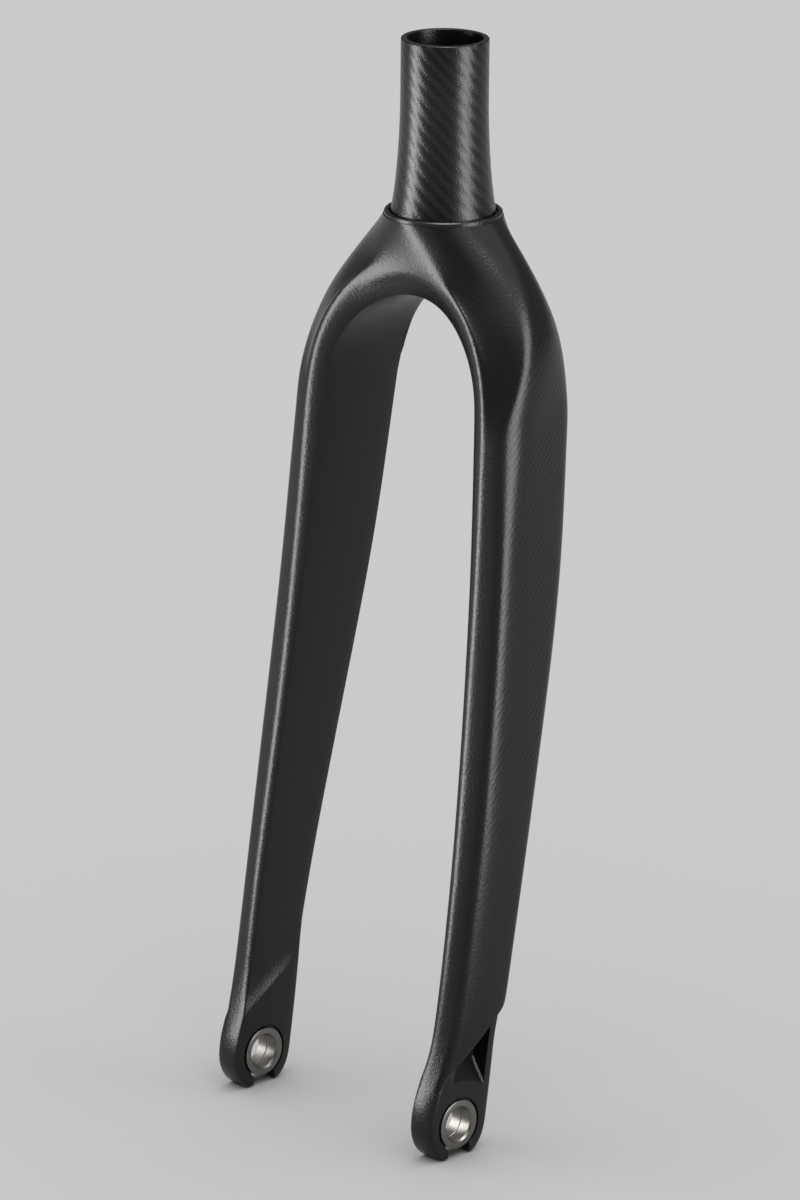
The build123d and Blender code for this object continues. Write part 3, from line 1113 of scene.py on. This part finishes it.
@dataclass(frozen=True)
class AxleBushes:
    """Flanged bushes, two in each dropout, that meet in a fine groove."""

    wall: float = 1.5
    flange_radius: float = 11.0
    flange_thickness: float = 1.5
    mouth_chamfer: float = 0.8
    edge_round: float = 0.25
    # Points of the mouth and of the flange's edge, as shares of those two sizes in and out.
    mouth_shares: Knots = ((1.0, 0.0), (0.45, 0.4), (0.0, 1.0))
    edge_shares: Knots = ((0.0, 1.0), (0.3, 0.3), (1.0, 0.0))

    def profile(self) -> list[Pair]:
        """Profile of a bush's wall.

        Returns:
            Pairs of distance from the flange's face and radius.
        """
        depth = (PLATE_FACE - HUB_FACE) / 2
        bore, rim = AXLE_BORE, self.flange_radius
        barrel = bore + self.wall
        mouth, soft = self.mouth_chamfer, self.edge_round
        wall = [(mouth * along, bore + mouth * out) for along, out in self.mouth_shares]
        wall += [(soft * along, rim - soft * back) for along, back in self.edge_shares]
        wall += [(self.flange_thickness, rim), (self.flange_thickness, barrel), (depth, barrel)]
        return [*wall, (depth, bore + soft), (depth - soft, bore)]

    def build(self, material: Any) -> list[Any]:
        """Builds the four bushes.

        Args:
            material: their finish.

        Returns:
            The finished pieces.
        """
        pattern = turned("bush_pattern", self.profile(), Core.OPEN)
        bushes = []
        for side in Side:
            side_name = side.name.lower()
            for face_name, distance, way in (("inner", HUB_FACE, 1), ("outer", PLATE_FACE, -1)):
                bush = bpy.data.objects.new(f"bush_{side_name}_{face_name}", pattern.data.copy())
                bpy.context.scene.collection.objects.link(bush)
                place = Matrix.Rotation(side * way * math.pi / 2, 4, "Y")
                place.translation = on_axle(side * distance, 0)
                settle(bush, place)
                bpy.ops.object.shade_smooth_by_angle(angle=TURNED_EDGE)
                dress(bush, material)
                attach(bush, "root")
                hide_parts(f"axle_bush_{side_name}_{face_name}")
                bushes.append(bush)
        bpy.data.objects.remove(pattern, do_unlink=True)
        return bushes


@dataclass(frozen=True)
class SoftBox:
    """Soft rectangular lamp that faces the fork.

    The azimuth is in degrees round from the front, positive towards +X, the elevation in degrees above
    the horizon, the power in watts, and the rest in metres.
    """

    name: str
    azimuth: float
    elevation: float
    distance: float
    width: float
    height: float
    power: float

    def hang(self, aim: Vector, lit: Any) -> None:
        """Hangs the lamp.

        Args:
            aim: the point that it faces.
            lit: collection of the only pieces that it lights.
        """
        turn = math.radians(self.azimuth)
        rise = math.radians(self.elevation)
        away = Vector((math.sin(turn) * math.cos(rise), -math.cos(turn) * math.cos(rise), math.sin(rise)))
        light = bpy.data.lights.new(self.name, "AREA")
        light.shape = "RECTANGLE"
        light.size = self.width
        light.size_y = self.height
        light.energy = self.power
        lamp = bpy.data.objects.new(self.name, light)
        bpy.context.scene.collection.objects.link(lamp)
        lamp.location = aim + away * self.distance
        lamp.visible_camera = False
        lamp.light_linking.receiver_collection = lit
        lamp.rotation_euler = (-away).to_track_quat("-Z", "Y").to_euler()


@dataclass(frozen=True)
class Studio:
    """Pale floor, soft lamps and a camera at the photograph's viewing angle."""

    floor_height: float = -0.4045
    floor_size: float = 30.0
    floor_colour: str = "#ececeb"
    world_level: float = 0.15
    overhead_level: float = 1.75
    overhead_spread: float = math.radians(100)
    lamps: tuple[SoftBox, ...] = (
        SoftBox("key_box", azimuth=-34, elevation=5, distance=0.37, width=0.14, height=0.48, power=2.9),
        SoftBox("rim_strip", azimuth=100, elevation=14, distance=0.55, width=0.25, height=0.8, power=5.4),
        SoftBox("top_box", azimuth=55, elevation=80, distance=1.4, width=0.6, height=0.6, power=15),
    )
    yaw: float = math.radians(44.97)
    pitch: float = math.radians(17.21)
    roll: float = math.radians(0.55)
    lens: float = 210.0
    sensor_width: float = 36.0
    clip_end: float = 20.0
    distance: float = 3.06626
    aim: tuple[float, float, float] = (0.0, 0.0, -0.170)
    shift_right: float = -0.0171
    shift_up: float = -0.00613

    def build(self, fork: Sequence[Any]) -> None:
        """Builds the floor, the lamps, the world and the camera.

        Args:
            fork: the fork's pieces, which alone the soft lamps light, so that the floor stays even.
        """
        self.build_floor()
        lit = bpy.data.collections.new("lit_pieces")
        for piece in fork:
            lit.objects.link(piece)
        for lamp in self.lamps:
            lamp.hang(Vector(self.aim), lit)
        self.build_surround()
        self.build_camera()

    def build_floor(self) -> None:
        """Builds the pale floor."""
        bpy.ops.mesh.primitive_plane_add(size=self.floor_size, location=(0, 0, self.floor_height))
        floor = bpy.context.object
        floor.name = "floor"
        # Matt paper gives the eye one even tone without a sheen.
        material, _, shader = new_material("pale_matt_paper")
        shader.inputs["Base Color"].default_value = to_linear(self.floor_colour)
        shader.inputs["Roughness"].default_value = 1.0
        shader.inputs["Specular IOR Level"].default_value = 0.0
        dress(floor, material)

    def build_surround(self) -> None:
        """Hangs the wide overhead light that evens out the floor, in a dim neutral world."""
        light = bpy.data.lights.new("overhead", "SUN")
        light.energy = self.overhead_level
        light.angle = self.overhead_spread
        bpy.context.scene.collection.objects.link(bpy.data.objects.new("overhead", light))
        world = bpy.data.worlds.new("surround")
        world.use_nodes = True
        background = world.node_tree.nodes["Background"]
        background.inputs["Color"].default_value = (1, 1, 1, 1)
        background.inputs["Strength"].default_value = self.world_level
        bpy.context.scene.world = world

    def build_camera(self) -> None:
        """Sets the camera at the photograph's angle, distance and framing."""
        turn = Matrix.Rotation(self.yaw, 4, "Z") @ Matrix.Rotation(math.pi / 2 - self.pitch, 4, "X")
        turn @= Matrix.Rotation(self.roll, 4, "Z")
        step_back = Matrix.Translation((self.shift_right, self.shift_up, self.distance))
        camera = bpy.data.cameras.new("camera")
        camera.lens = self.lens
        camera.sensor_width = self.sensor_width
        camera.clip_end = self.clip_end
        stand = bpy.data.objects.new("camera", camera)
        bpy.context.scene.collection.objects.link(stand)
        stand.matrix_world = Matrix.Translation(self.aim) @ turn @ step_back
        bpy.context.scene.camera = stand


def main() -> None:
    """Builds the fork's looks and its studio, and reports each piece."""
    logging.basicConfig(level=logging.INFO, format="%(name)s: %(message)s")
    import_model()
    bpy.ops.object.select_all(action="DESELECT")
    bpy.context.scene.view_settings.view_transform = "Standard"

    carbon = SatinCarbon().build()
    twill = TwillCarbon().build()
    steel = TurnedStainless().build()
    pieces = [ForkShell().build(carbon), SteererTube().build(twill), *AxleBushes().build(steel)]
    for piece in pieces:
        LOG.info("built %s with %d faces", piece.name, len(piece.data.polygons))

    Studio().build(pieces)


if __name__ == "__main__":
    main()
